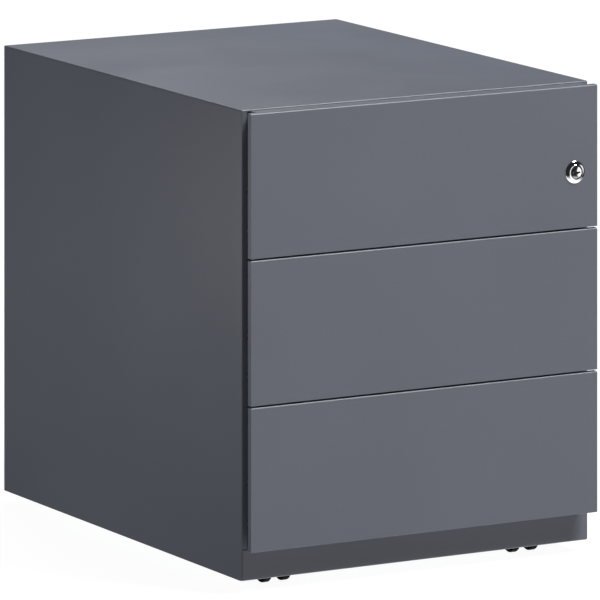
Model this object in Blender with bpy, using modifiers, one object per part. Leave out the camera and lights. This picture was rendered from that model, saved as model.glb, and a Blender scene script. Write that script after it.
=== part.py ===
"""Mobile three-drawer office pedestal in folded sheet steel, on concealed twin-wheel castors.

Metres, +Z up, front towards -Y. The origin is on the floor, below the middle of the whole object.
Each drawer front is a shallow pan as wide as the case. Its side edges stand clear of the case, so
that fingers reach behind them. One lock in the top front lifts a bar that holds all the drawers.
"""

import math

import bmesh
import bpy
from mathutils import Matrix, Vector

MM = 0.001
ALONG_X, ALONG_Y, UP_Z = "X", "Y", "Z"

# --- driving dimensions -------------------------------------------------------------------------
CASE_WIDTH = 420 * MM
CASE_DEPTH = 545 * MM
CASE_TOP = 502 * MM
CASE_BOTTOM = 13 * MM
SHEET = 0.9 * MM
FIT = 0.3 * MM
EDGE_RADIUS = 1.2 * MM
EMPTY_SIZE = 20 * MM
BEVEL_SEGMENTS = 2
ROUND_SEGMENTS = 24
SMOOTH_ANGLE = math.radians(35)
MERGE_DISTANCE = 0.01 * MM

# The case's turned edges, and the rail and the channels inside it.
STILE_WIDTH = 6.7 * MM
TOP_LIP = 2 * MM
REAR_RETURN = 12 * MM
PLINTH_TOP = 46 * MM
PLINTH_RETURN = 14 * MM
BASE_REAR_FOLD = 14 * MM
RAIL_START = 16 * MM
RAIL_DEPTH = 22 * MM
RAIL_DROP = 15 * MM
UPRIGHT_FACE = 202.4 * MM
UPRIGHT_WIDTH = 30 * MM
UPRIGHT_STARTS = {"front": 45 * MM, "rear": 470 * MM}

# Drawer fronts: how far they stand out, and their finger grips at both sides.
FRONT_PROUD = 20 * MM
FRONT_WIDTH = 420 * MM
FRONT_HEIGHT = 149.8 * MM
FRONT_PITCH = 152.4 * MM
LOWEST_FRONT = 45.9 * MM
FRONT_EDGE_RADIUS = 0.9 * MM
GRIP_EDGE = 6.6 * MM
GRIP_INSET = 10 * MM
PLATE_FRONT = -1.3 * MM
PLATE_MARGIN = 1 * MM

TRAY_HALF_WIDTH = 189.1 * MM
TRAY_DEPTH = 505 * MM
TRAY_FLOOR = 9 * MM
TRAY_HEIGHT = 112 * MM
TRAY_LIP = 7 * MM

# Ball runners: distances out from the tray's side, and half heights about their middle line.
RUNNER_SHEET = 1.1 * MM
RUNNER_THICKNESS = 12.7 * MM
RUNNER_START = 8 * MM
RUNNER_MIDDLE = 45 * MM
OUTER_LENGTH = 500 * MM
OUTER_HALF_HEIGHT = 22.65 * MM
OUTER_FLANGE_END = 3.5 * MM
INNER_LENGTH = 490 * MM
INNER_HALF_HEIGHT = 15.35 * MM
INNER_FLANGE_END = 9.2 * MM
CAGE_LENGTH = 95 * MM
CAGE_START = 205.5 * MM
CAGE_SHEET = 0.6 * MM
CAGE_WEB = 10.4 * MM
CAGE_FLANGE_END = 4.5 * MM
BALL_OUT = 6.4 * MM
BALL_RADIUS = 2.9 * MM
BALLS_PER_RACE = 3
BALL_SEGMENTS = 8
BALL_RINGS = 6

# The lock, with its origin on the outer face of the top front.
LOCK_X = 182.2 * MM
LOCK_Z = 409.3 * MM
LOCK_PROUD = 3.5 * MM
FLANGE_RADIUS = 12 * MM
FLANGE_CHAMFER = 1.2 * MM
BARREL_RADIUS = 9.5 * MM
BARREL_END = 23.2 * MM
PLUG_RADIUS = 6.6 * MM
PLUG_CHAMFER = 0.6 * MM
PLUG_RECESS = 1 * MM
TAIL_RADIUS = 4 * MM
TAIL_END = 25.8 * MM
NUT_RADIUS = 12 * MM
NUT_THICKNESS = 2.7 * MM
CAM_REACH = 25 * MM
CAM_WIDTH = 10 * MM
CAM_THICKNESS = 2 * MM
CAM_HUB_RADIUS = 7.5 * MM
SCREW_HEAD_RADIUS = 5.5 * MM
SCREW_HEAD_THICKNESS = 1.5 * MM
KEYWAY_HALF_WIDTH = 4.8 * MM
KEYWAY_HALF_HEIGHT = 1 * MM
KEYWAY_DEPTH = 7 * MM
NOTCH_BELOW_CAM = 3 * MM
NOTCH_ABOVE_NUT = 2 * MM

# The lock bar, behind the right stile. Its tabs rise in front of a catch on each drawer.
BAR_INNER = 205.6 * MM
BAR_THICKNESS = 1.5 * MM
BAR_FRONT = 1.5 * MM
BAR_WIDTH = 12 * MM
BAR_BOTTOM = 64 * MM
BAR_TOP = 482 * MM
BAR_NOTCH_BACK = 7 * MM
BAR_NOTCH_BELOW_LOCK = 21.5 * MM
BAR_NOTCH_TOP_BELOW_LOCK = 4 * MM
TAB_REACH = 199.5 * MM
TAB_HEIGHT = 12 * MM
CATCH_BOTTOM = 84 * MM
CATCH_HEIGHT = 8 * MM
CATCH_FRONT = 15 * MM
CATCH_LENGTH = 25 * MM
CATCH_THICKNESS = 1.5 * MM
CATCH_REACH = 202.8 * MM
CATCH_CLEARANCE = 1.2 * MM
GUIDE_HEIGHTS = {"lower": 80 * MM, "upper": 466 * MM}
GUIDE_HALF_HEIGHT = 6 * MM
GUIDE_THICKNESS = 1.4 * MM
GUIDE_HOOK_START = 7 * MM

# Castors: the wheels' axle is in front of the upright pin that the hood turns on.
WHEEL_RADIUS = 14 * MM
WHEEL_WIDTH = 8.4 * MM
WHEEL_INNER = 7.2 * MM
TREAD_RADIUS = 1.6 * MM
TREAD_STEPS = 3
AXLE_RADIUS = 2.5 * MM
AXLE_HALF_LENGTH = 15.1 * MM
CASTOR_X = 150.7 * MM
CASTOR_INSET = 52.5 * MM
CASTOR_TRAIL = 12 * MM
HOOD_RADIUS = 17 * MM
HOOD_HALF_WIDTH = 16.1 * MM
HOOD_WELL_RADIUS = 14.8 * MM
HOOD_WEB_RADIUS = 12.5 * MM
HOOD_WEB_HALF_WIDTH = 6.9 * MM
HOOD_WEB_BOTTOM = 8 * MM
BOSS_RADIUS = 6.6 * MM
BOSS_TOP = 41.5 * MM
PIN_RADIUS = 4 * MM
PIN_END = 20 * MM
SOCKET_BELOW_PIN = 2 * MM
MOUNT_HALF_WIDTH = 20 * MM
MOUNT_THICKNESS = 1.8 * MM

# --- places worked out from them ----------------------------------------------------------------
HALF_WIDTH = CASE_WIDTH / 2
CASE_FRONT = -(CASE_DEPTH - FRONT_PROUD - LOCK_PROUD) / 2
CASE_BACK = CASE_FRONT + CASE_DEPTH
INSIDE_WALL = HALF_WIDTH - SHEET
BEYOND = 30 * MM
HOLE_REACH = 4 * MM
FACET_ANGLE = math.tau / ROUND_SEGMENTS
AXLE_HEIGHT = WHEEL_RADIUS * math.cos(FACET_ANGLE / 2)
BASE_UNDERSIDE = PLINTH_TOP - SHEET
PLATE_BACK = PLATE_FRONT + SHEET
BAR_BACK = BAR_FRONT + BAR_WIDTH
CAM_FRONT = BARREL_END + FIT
LOCK_HOLE_RADIUS = BARREL_RADIUS + FIT
LOCK_DRAWER = "top"
DRAWERS = {
    "bottom": LOWEST_FRONT,
    "middle": LOWEST_FRONT + FRONT_PITCH,
    "top": LOWEST_FRONT + 2 * FRONT_PITCH,
}
SIDES = {"left": -1, "right": 1}
CASTOR_ROWS = {"front": CASE_FRONT + CASTOR_INSET, "rear": CASE_BACK - CASTOR_INSET}
# name: (colour, metallic, roughness)
FINISHES = {
    "anthracite_paint": ((0.135, 0.142, 0.162), 0.0, 0.42),
    "zinc_steel": ((0.62, 0.63, 0.64), 0.9, 0.38),
    "chrome": ((0.80, 0.80, 0.82), 1.0, 0.12),
    "black_plastic": ((0.012, 0.012, 0.013), 0.0, 0.5),
    "wheel_tread": ((0.010, 0.010, 0.011), 0.0, 0.65),
}


# --- scene and modelling helpers ----------------------------------------------------------------
def clear_scene():
    for obj in list(bpy.data.objects):
        bpy.data.objects.remove(obj)


def make_collection(name):
    collection = bpy.data.collections.new(name)
    bpy.context.scene.collection.children.link(collection)
    return collection


def make_material(name):
    colour, metallic, roughness = FINISHES[name]
    material = bpy.data.materials.new(name)
    material.use_nodes = True
    shader = material.node_tree.nodes["Principled BSDF"]
    shader.inputs["Base Color"].default_value = (*colour, 1.0)
    shader.inputs["Metallic"].default_value = metallic
    shader.inputs["Roughness"].default_value = roughness
    return material


def mesh_from(build):
    """A mesh filled in by build, a function that takes an empty bmesh."""
    mesh = bpy.data.meshes.new("shape")
    shape = bmesh.new()
    build(shape)
    shape.to_mesh(mesh)
    shape.free()
    return mesh


def box_mesh(low, high):
    low, high = Vector(low), Vector(high)
    place = Matrix.LocRotScale((low + high) / 2, None, high - low)
    return mesh_from(lambda shape: bmesh.ops.create_cube(shape, size=1, matrix=place))


def cylinder_mesh(radius, start, end, axis, centre=(0, 0), segments=ROUND_SEGMENTS):
    """A closed cylinder along an axis. centre is its place on the other two axes, in X, Y, Z order."""
    middle = (start + end) / 2
    if axis == ALONG_X:
        place = Matrix.Translation((middle, *centre)) @ Matrix.Rotation(math.pi / 2, 4, "Y")
    elif axis == ALONG_Y:
        place = Matrix.Translation((centre[0], middle, centre[1])) @ Matrix.Rotation(math.pi / 2, 4, "X")
    else:
        place = Matrix.Translation((*centre, middle))
    mesh = mesh_from(
        lambda shape: bmesh.ops.create_cone(
            shape,
            cap_ends=True,
            segments=segments,
            radius1=radius,
            radius2=radius,
            depth=end - start,
            matrix=place,
        )
    )
    shade_round(mesh)
    return mesh


def swept_mesh(points, run):
    """An open folded surface: a chain of points swept along the vector run."""

    def build(shape):
        chain = [shape.verts.new(point) for point in points]
        edges = [shape.edges.new(pair) for pair in zip(chain, chain[1:])]
        swept = bmesh.ops.extrude_edge_only(shape, edges=edges)["geom"]
        moved = [item for item in swept if isinstance(item, bmesh.types.BMVert)]
        bmesh.ops.translate(shape, verts=moved, vec=run)
        bmesh.ops.recalc_face_normals(shape, faces=shape.faces)

    return mesh_from(build)


def profile_mesh(points, turn=0.0):
    """A closed outline of (radius, height) points to turn round Z, starting at the angle turn."""

    def build(shape):
        chain = [
            shape.verts.new((radius * math.cos(turn), radius * math.sin(turn), height))
            for radius, height in points
        ]
        for first, second in zip(chain, chain[1:] + chain[:1]):
            shape.edges.new((first, second))

    return mesh_from(build)


def shade_round(mesh):
    mesh.shade_smooth()
    mesh.set_sharp_from_angle(angle=SMOOTH_ANGLE)


def add_part(name, mesh, material, parent=None, location=(0, 0, 0), turn=(0, 0, 0)):
    """A visible sub-part, placed under its parent empty."""
    obj = bpy.data.objects.new(name, mesh)
    PARTS.objects.link(obj)
    obj.parent = parent
    obj.location = location
    obj.rotation_euler = turn
    if not mesh.materials:
        mesh.materials.append(MATERIALS[material])
    return obj


def add_empty(name, location, parent=None, turn=(0, 0, 0)):
    empty = bpy.data.objects.new(name, None)
    PARTS.objects.link(empty)
    empty.empty_display_size = EMPTY_SIZE
    empty.parent = parent
    empty.location = location
    empty.rotation_euler = turn
    return empty


def combine(obj, operation, mesh):
    """A Boolean with a mesh given in obj's own coordinates, which stays out of the model."""
    helper = bpy.data.objects.new(f"{obj.name}_{operation.lower()}_{len(obj.modifiers)}", mesh)
    CUTTERS.objects.link(helper)
    helper.parent = obj
    helper.display_type = "WIRE"
    helper.hide_render = True
    modifier = obj.modifiers.new(operation.title(), "BOOLEAN")
    modifier.operation = operation
    modifier.object = helper
    modifier.solver = "EXACT"


def cut(obj, mesh):
    combine(obj, "DIFFERENCE", mesh)


def join(obj, mesh):
    combine(obj, "UNION", mesh)


def round_edges(obj, width):
    modifier = obj.modifiers.new("Rounded edges", "BEVEL")
    modifier.width = width
    modifier.segments = BEVEL_SEGMENTS
    modifier.limit_method = "ANGLE"


def thicken(obj, thickness):
    """Gives an open folded surface its sheet thickness, half on each side."""
    modifier = obj.modifiers.new("Sheet", "SOLIDIFY")
    modifier.thickness = thickness
    modifier.offset = 0
    modifier.use_even_offset = True


def turn_profile(obj):
    """Turns a closed outline round the object's Z axis."""
    modifier = obj.modifiers.new("Turned", "SCREW")
    modifier.axis = "Z"
    modifier.steps = modifier.render_steps = ROUND_SEGMENTS
    modifier.use_smooth_shade = True
    modifier.use_merge_vertices = True
    modifier.merge_threshold = MERGE_DISTANCE


# --- case ---------------------------------------------------------------------------------------
def build_case_wrap():
    """One sheet folded over both sides and the top, with its front and rear edges turned in."""
    wrap = add_part(
        "case_wrap",
        box_mesh((-HALF_WIDTH, CASE_FRONT, -BEYOND), (HALF_WIDTH, CASE_BACK, CASE_TOP)),
        "anthracite_paint",
    )
    round_edges(wrap, EDGE_RADIUS)
    far = HALF_WIDTH + BEYOND
    front = CASE_FRONT - BEYOND, CASE_FRONT + BEYOND
    back = CASE_BACK - BEYOND, CASE_BACK + BEYOND
    cut(wrap, box_mesh((-far, front[0], -2 * BEYOND), (far, back[1], CASE_BOTTOM)))
    hollow = box_mesh(
        (-INSIDE_WALL, CASE_FRONT + SHEET, -BEYOND),
        (INSIDE_WALL, CASE_BACK - SHEET, CASE_TOP - SHEET),
    )
    cut(wrap, hollow)
    opening = HALF_WIDTH - STILE_WIDTH
    cut(wrap, box_mesh((-opening, front[0], 0), (opening, front[1], CASE_TOP - TOP_LIP)))
    cut(wrap, box_mesh((-INSIDE_WALL, front[0], 0), (INSIDE_WALL, front[1], PLINTH_TOP)))
    rear = HALF_WIDTH - REAR_RETURN
    cut(wrap, box_mesh((-rear, back[0], 0), (rear, back[1], CASE_TOP - REAR_RETURN)))


def add_folded_across(name, profile):
    """A folded sheet as wide as the inside of the case. The profile's points are (y, z)."""
    half = INSIDE_WALL - FIT
    sheet = add_part(
        name,
        swept_mesh([(-half, y, z) for y, z in profile], (2 * half, 0, 0)),
        "anthracite_paint",
    )
    thicken(sheet, SHEET)


def build_back_panel():
    """A flat sheet inside the rear returns, with its top and bottom edges turned forward."""
    face = CASE_BACK - SHEET - FIT - SHEET / 2
    turned_in = face - REAR_RETURN
    bottom = CASE_BOTTOM + SHEET
    top = CASE_TOP - SHEET - FIT - SHEET / 2
    add_folded_across("back_panel", [(turned_in, bottom), (face, bottom), (face, top), (turned_in, top)])


def build_base_pan():
    """The floor of the case, folded down at the front to make the plinth."""
    front = CASE_FRONT + SHEET / 2
    back = CASE_BACK - 2 * SHEET - 2 * FIT - REAR_RETURN - SHEET / 2
    low, high = CASE_BOTTOM + SHEET / 2, PLINTH_TOP - SHEET / 2
    profile = [
        (front + PLINTH_RETURN, low),
        (front, low),
        (front, high),
        (back, high),
        (back, high - BASE_REAR_FOLD),
    ]
    add_folded_across("base_pan", profile)


def build_top_rail():
    """A channel under the top, behind the front opening, that stiffens its edge."""
    front = CASE_FRONT + RAIL_START
    back = front + RAIL_DEPTH
    high = CASE_TOP - SHEET - FIT - SHEET / 2
    low = high - RAIL_DROP
    add_folded_across("top_front_rail", [(back, high), (front, high), (front, low), (back, low)])


def build_uprights():
    """Four channels on the sides, which carry the runners. Their open side faces the case."""
    low, high = PLINTH_TOP + FIT, CASE_TOP - SHEET - FIT
    face = UPRIGHT_FACE + SHEET / 2
    foot = INSIDE_WALL - FIT
    for place, start in UPRIGHT_STARTS.items():
        front = CASE_FRONT + start + SHEET / 2
        back = front + UPRIGHT_WIDTH - SHEET
        for side, sign in SIDES.items():
            plan = [(foot, front), (face, front), (face, back), (foot, back)]
            upright = add_part(
                f"upright_{place}_{side}",
                swept_mesh([(sign * x, y, low) for x, y in plan], (0, 0, high - low)),
                "anthracite_paint",
            )
            thicken(upright, SHEET)


# --- runners ------------------------------------------------------------------------------------
def add_channel(name, side, web, flange_end, half_height, length, sheet, parent, start):
    """A channel along Y. web and flange_end are distances out from the tray's side."""
    sign = SIDES[side]
    tray_side = TRAY_HALF_WIDTH + FIT
    profile = [
        (flange_end, half_height),
        (web, half_height),
        (web, -half_height),
        (flange_end, -half_height),
    ]
    channel = add_part(
        name,
        swept_mesh([(sign * (tray_side + out), start, z) for out, z in profile], (0, length, 0)),
        "zinc_steel",
        parent,
        (0, 0, RUNNER_MIDDLE),
    )
    thicken(channel, sheet)
    return channel


def build_outer_runner(drawer, side):
    """The member fixed to the uprights. Its flanges reach round the balls."""
    frame = add_empty(f"runner_place_{drawer}_{side}", (0, CASE_FRONT, DRAWERS[drawer]))
    add_channel(
        f"runner_{drawer}_{side}_outer",
        side,
        RUNNER_THICKNESS - RUNNER_SHEET / 2,
        OUTER_FLANGE_END,
        OUTER_HALF_HEIGHT - RUNNER_SHEET / 2,
        OUTER_LENGTH,
        RUNNER_SHEET,
        frame,
        RUNNER_START,
    )


def build_inner_runner(drawer, side, drawer_frame):
    """The member fixed to the tray's side."""
    add_channel(
        f"runner_{drawer}_{side}_inner",
        side,
        RUNNER_SHEET / 2,
        INNER_FLANGE_END,
        INNER_HALF_HEIGHT - RUNNER_SHEET / 2,
        INNER_LENGTH,
        RUNNER_SHEET,
        drawer_frame,
        RUNNER_START,
    )


def build_ball_cage(drawer, side, cage_frame):
    """The strip that spaces the balls. It rolls half as far as the drawer slides."""
    race = (OUTER_HALF_HEIGHT - RUNNER_SHEET + INNER_HALF_HEIGHT) / 2
    cage = add_channel(
        f"runner_{drawer}_{side}_ball_cage",
        side,
        CAGE_WEB,
        CAGE_FLANGE_END,
        race,
        CAGE_LENGTH,
        CAGE_SHEET,
        cage_frame,
        CAGE_START,
    )
    out = SIDES[side] * (TRAY_HALF_WIDTH + FIT + BALL_OUT)
    spacing = CAGE_LENGTH / BALLS_PER_RACE

    def add_balls(shape):
        for i in range(BALLS_PER_RACE):
            for level in (-race, race):
                place = Matrix.Translation((out, CAGE_START + (i + 0.5) * spacing, level))
                bmesh.ops.create_uvsphere(
                    shape,
                    u_segments=BALL_SEGMENTS,
                    v_segments=BALL_RINGS,
                    radius=BALL_RADIUS,
                    matrix=place,
                )

    join(cage, mesh_from(add_balls))


# --- drawers ------------------------------------------------------------------------------------
def build_drawer_front(drawer, drawer_frame):
    """A folded pan, open behind. Its deep middle meets the tray, and its thin sides are the grips."""
    half, face, grip_back = FRONT_WIDTH / 2, -FRONT_PROUD, -FRONT_PROUD + GRIP_EDGE
    body_half, body_back = half - GRIP_INSET, PLATE_FRONT - FIT
    front = add_part(
        f"drawer_{drawer}_front",
        box_mesh((-half, face, 0), (half, grip_back, FRONT_HEIGHT)),
        "anthracite_paint",
        drawer_frame,
    )
    round_edges(front, FRONT_EDGE_RADIUS)
    join(front, box_mesh((-body_half, face + SHEET, 0), (body_half, body_back, FRONT_HEIGHT)))
    top = FRONT_HEIGHT - SHEET
    inside = box_mesh((SHEET - half, face + SHEET, SHEET), (half - SHEET, grip_back - SHEET, top))
    cut(front, inside)
    body_inside = box_mesh(
        (SHEET - body_half, face + SHEET, SHEET), (body_half - SHEET, body_back + BEYOND, top)
    )
    cut(front, body_inside)
    if drawer == LOCK_DRAWER:
        cut(front, lock_hole(face))


def build_drawer_tray(drawer, drawer_frame):
    """The box that holds the contents. Its front plate closes the back of the drawer's front."""
    half, top = TRAY_HALF_WIDTH, TRAY_FLOOR + TRAY_HEIGHT
    back = PLATE_FRONT + TRAY_DEPTH
    plate_half = FRONT_WIDTH / 2 - GRIP_INSET - PLATE_MARGIN
    tray = add_part(
        f"drawer_{drawer}_tray",
        box_mesh((-half, PLATE_FRONT, TRAY_FLOOR), (half, back, top)),
        "anthracite_paint",
        drawer_frame,
    )
    plate = box_mesh(
        (-plate_half, PLATE_FRONT, PLATE_MARGIN), (plate_half, PLATE_BACK, FRONT_HEIGHT - PLATE_MARGIN)
    )
    join(tray, plate)
    inside, floor = half - SHEET, TRAY_FLOOR + SHEET
    cut(tray, box_mesh((-inside, PLATE_BACK, floor), (inside, back - SHEET, top - SHEET)))
    mouth = inside - TRAY_LIP
    cut(tray, box_mesh((-mouth, PLATE_BACK, floor), (mouth, back - SHEET, top + BEYOND)))
    if drawer == LOCK_DRAWER:
        cut(tray, lock_hole(PLATE_FRONT))
        lock_height = LOCK_Z - DRAWERS[drawer]
        side_notch = box_mesh(
            (inside - TRAY_LIP, PLATE_BACK, lock_height - CAM_REACH - NOTCH_BELOW_CAM),
            (half + BEYOND, RUNNER_START, lock_height + NUT_RADIUS + NOTCH_ABOVE_NUT),
        )
        cut(tray, side_notch)


def lock_hole(y):
    """A cutter for the lock's barrel, through a sheet at y in the top drawer's own coordinates."""
    height = LOCK_Z - DRAWERS[LOCK_DRAWER]
    return cylinder_mesh(LOCK_HOLE_RADIUS, y - HOLE_REACH, y + HOLE_REACH, ALONG_Y, (LOCK_X, height))


def build_catch(drawer, drawer_frame):
    """An angle on the tray's right side, which the lock bar's tab stops when it is up."""
    side = TRAY_HALF_WIDTH + FIT
    low, high = CATCH_BOTTOM, CATCH_BOTTOM + CATCH_HEIGHT
    back = CATCH_FRONT + CATCH_LENGTH
    flange = box_mesh((side, CATCH_FRONT, low), (side + CATCH_THICKNESS, back, high))
    catch = add_part(f"drawer_{drawer}_catch", flange, "zinc_steel", drawer_frame)
    join(catch, box_mesh((side, CATCH_FRONT, low), (CATCH_REACH, CATCH_FRONT + CATCH_THICKNESS, high)))


def build_drawers():
    for drawer, height in DRAWERS.items():
        drawer_frame = add_empty(f"drawer_{drawer}", (0, CASE_FRONT, height))
        cage_frame = add_empty(f"ball_cages_{drawer}", (0, CASE_FRONT, height))
        build_drawer_front(drawer, drawer_frame)
        build_drawer_tray(drawer, drawer_frame)
        build_catch(drawer, drawer_frame)
        for side in SIDES:
            build_outer_runner(drawer, side)
            build_inner_runner(drawer, side, drawer_frame)
            build_ball_cage(drawer, side, cage_frame)
        if drawer == LOCK_DRAWER:
            build_lock(drawer_frame)


# --- lock ---------------------------------------------------------------------------------------
def build_lock(drawer_frame):
    """The lock's own Z points out of the drawer's front, and its Y points up."""
    place = (LOCK_X, -FRONT_PROUD, LOCK_Z - DRAWERS[LOCK_DRAWER])
    quarter = (math.pi / 2, 0, 0)
    fixed = add_empty("lock_place", place, drawer_frame, quarter)
    turning = add_empty("lock_turn", place, drawer_frame, quarter)
    build_lock_barrel(fixed)
    build_lock_nut(fixed)
    build_lock_plug(turning)
    build_lock_cam(turning)


def build_lock_barrel(frame):
    """A tube with a round flange, which stands in the drawer's front."""
    bore = PLUG_RADIUS + FIT
    outline = [
        (bore, LOCK_PROUD - FLANGE_CHAMFER / 2),
        (bore + FLANGE_CHAMFER, LOCK_PROUD),
        (FLANGE_RADIUS - FLANGE_CHAMFER, LOCK_PROUD),
        (FLANGE_RADIUS, LOCK_PROUD - FLANGE_CHAMFER),
        (FLANGE_RADIUS, FIT),
        (BARREL_RADIUS, FIT),
        (BARREL_RADIUS, -BARREL_END),
        (bore, -BARREL_END),
    ]
    barrel = add_part("lock_barrel", profile_mesh(outline), "chrome", frame)
    turn_profile(barrel)


def build_lock_nut(frame):
    """The six-sided nut that clamps the barrel to the tray's front plate."""
    top = -(FRONT_PROUD + PLATE_BACK + FIT)
    six_sided = cylinder_mesh(NUT_RADIUS, top - NUT_THICKNESS, top, UP_Z, segments=6)
    nut = add_part("lock_nut", six_sided, "zinc_steel", frame)
    cut(nut, cylinder_mesh(LOCK_HOLE_RADIUS, top - BEYOND, top + BEYOND, UP_Z))


def build_lock_plug(frame):
    """The round core that the key turns, with a thinner tail for the cam."""
    face = LOCK_PROUD - PLUG_RECESS
    outline = [
        (0, face),
        (PLUG_RADIUS - PLUG_CHAMFER, face),
        (PLUG_RADIUS, face - PLUG_CHAMFER),
        (PLUG_RADIUS, -BARREL_END),
        (TAIL_RADIUS, -BARREL_END),
        (TAIL_RADIUS, -TAIL_END),
        (0, -TAIL_END),
    ]
    plug = add_part("lock_plug", profile_mesh(outline), "chrome", frame)
    turn_profile(plug)
    keyway = box_mesh(
        (-KEYWAY_HALF_WIDTH, -KEYWAY_HALF_HEIGHT, face - KEYWAY_DEPTH),
        (KEYWAY_HALF_WIDTH, KEYWAY_HALF_HEIGHT, face + BEYOND),
    )
    cut(plug, keyway)


def build_lock_cam(frame):
    """A flat arm on the plug's tail, and the screw that holds it. It points down when unlocked."""
    front, back = -CAM_FRONT, -CAM_FRONT - CAM_THICKNESS
    half = CAM_WIDTH / 2
    arm = box_mesh((-half, -CAM_REACH, back), (half, 0, front))
    cam = add_part("lock_cam", arm, "zinc_steel", frame)
    join(cam, cylinder_mesh(CAM_HUB_RADIUS, back, front, UP_Z))
    cut(cam, cylinder_mesh(TAIL_RADIUS + FIT, back - BEYOND, front + BEYOND, UP_Z))
    head = -TAIL_END - FIT
    add_part(
        "lock_cam_screw",
        cylinder_mesh(SCREW_HEAD_RADIUS, head - SCREW_HEAD_THICKNESS, head, UP_Z),
        "zinc_steel",
        frame,
    )


def build_lock_bar():
    """A flat bar on edge. The cam lifts it, and its tabs then stand in front of the catches."""
    frame = add_empty("lock_bar_place", (0, CASE_FRONT, 0))
    outer = BAR_INNER + BAR_THICKNESS
    bar = add_part(
        "lock_bar",
        box_mesh((BAR_INNER, BAR_FRONT, BAR_BOTTOM), (outer, BAR_BACK, BAR_TOP)),
        "zinc_steel",
        frame,
    )
    for height in DRAWERS.values():
        top = height + CATCH_BOTTOM - CATCH_CLEARANCE
        tab = box_mesh((TAB_REACH, BAR_BACK - BAR_THICKNESS, top - TAB_HEIGHT), (outer, BAR_BACK, top))
        join(bar, tab)
    notch = box_mesh(
        (BAR_INNER - BEYOND, BAR_FRONT - BEYOND, LOCK_Z - BAR_NOTCH_BELOW_LOCK),
        (outer + BEYOND, BAR_NOTCH_BACK, LOCK_Z - BAR_NOTCH_TOP_BELOW_LOCK),
    )
    cut(bar, notch)


def build_lock_bar_guides():
    """Folded strips on the case's side that hold the bar against the stile and let it slide."""
    wall = INSIDE_WALL - FIT - GUIDE_THICKNESS / 2
    lip = BAR_BACK + FIT + GUIDE_THICKNESS / 2
    hook = BAR_INNER - FIT - GUIDE_THICKNESS / 2
    plan = [(wall, BAR_FRONT), (wall, lip), (hook, lip), (hook, GUIDE_HOOK_START)]
    for place, height in GUIDE_HEIGHTS.items():
        frame = add_empty(f"guide_place_{place}", (0, CASE_FRONT, height))
        guide = add_part(
            f"lock_bar_guide_{place}",
            swept_mesh([(x, y, -GUIDE_HALF_HEIGHT) for x, y in plan], (0, 0, 2 * GUIDE_HALF_HEIGHT)),
            "black_plastic",
            frame,
        )
        thicken(guide, GUIDE_THICKNESS)


# --- castors ------------------------------------------------------------------------------------
def build_castor_mount(name, place):
    """The plate under the base, with the upright pin that the hood turns on."""
    half = MOUNT_HALF_WIDTH
    high = BASE_UNDERSIDE - FIT
    low = high - MOUNT_THICKNESS
    mount = add_part(
        f"castor_{name}_mount",
        box_mesh((-half, -half, low), (half, half, high)),
        "zinc_steel",
        location=(*place, 0),
    )
    join(mount, cylinder_mesh(PIN_RADIUS, PIN_END, low + MOUNT_THICKNESS / 2, UP_Z))


def build_castor_hood(name, frame):
    """The moulded hood over both wheels, with its web between them and the axle through it."""
    axle = (-CASTOR_TRAIL, AXLE_HEIGHT)
    hood = add_part(
        f"castor_{name}_hood",
        cylinder_mesh(HOOD_RADIUS, -HOOD_HALF_WIDTH, HOOD_HALF_WIDTH, ALONG_X, axle),
        "black_plastic",
        frame,
    )
    cut(hood, box_mesh((-BEYOND, -2 * BEYOND, -BEYOND), (BEYOND, 2 * BEYOND, AXLE_HEIGHT)))
    for start, end in ((HOOD_WEB_HALF_WIDTH, BEYOND), (-BEYOND, -HOOD_WEB_HALF_WIDTH)):
        cut(hood, cylinder_mesh(HOOD_WELL_RADIUS, start, end, ALONG_X, axle))
    half = HOOD_WEB_HALF_WIDTH
    join(hood, cylinder_mesh(HOOD_WEB_RADIUS, -half, half, ALONG_X, axle))
    cut(hood, box_mesh((-BEYOND, -2 * BEYOND, -BEYOND), (BEYOND, 2 * BEYOND, HOOD_WEB_BOTTOM)))
    join(hood, cylinder_mesh(BOSS_RADIUS, AXLE_HEIGHT, BOSS_TOP, UP_Z))
    join(hood, cylinder_mesh(AXLE_RADIUS, -AXLE_HALF_LENGTH, AXLE_HALF_LENGTH, ALONG_X, axle))
    cut(hood, cylinder_mesh(PIN_RADIUS + FIT, PIN_END - SOCKET_BELOW_PIN, BOSS_TOP + BEYOND, UP_Z))


def wheel_outline():
    """The wheel's section, with its tread rounded at both edges, from its outer face inwards."""
    bore = AXLE_RADIUS + FIT
    rim = WHEEL_RADIUS - TREAD_RADIUS
    shoulder = WHEEL_WIDTH - TREAD_RADIUS
    quarter = [math.pi / 2 * (1 - step / TREAD_STEPS) for step in range(TREAD_STEPS + 1)]
    upper = [(rim + TREAD_RADIUS * math.cos(a), shoulder + TREAD_RADIUS * math.sin(a)) for a in quarter]
    lower = [(radius, WHEEL_WIDTH - height) for radius, height in reversed(upper)]
    return [(bore, WHEEL_WIDTH), *upper, *lower, (bore, 0)]


def build_castor_wheels(name, frame):
    """Two wheels that turn separately on the axle. Each stands on one flat of its outline."""
    for side, sign in SIDES.items():
        axle = (0, -CASTOR_TRAIL, AXLE_HEIGHT)
        turning = add_empty(f"castor_{name}_wheel_{side}_axis", axle, frame, (0, math.pi / 2, 0))
        inner = WHEEL_INNER if sign > 0 else -WHEEL_INNER - WHEEL_WIDTH
        wheel = add_part(
            f"castor_{name}_wheel_{side}",
            profile_mesh(wheel_outline(), FACET_ANGLE / 2),
            "wheel_tread",
            turning,
            (0, 0, inner),
        )
        turn_profile(wheel)


def build_castors():
    for row, y in CASTOR_ROWS.items():
        for side, sign in SIDES.items():
            name = f"{row}_{side}"
            place = (sign * CASTOR_X, y)
            build_castor_mount(name, place)
            frame = add_empty(f"castor_{name}_swivel", (*place, 0))
            build_castor_hood(name, frame)
            build_castor_wheels(name, frame)


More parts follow.
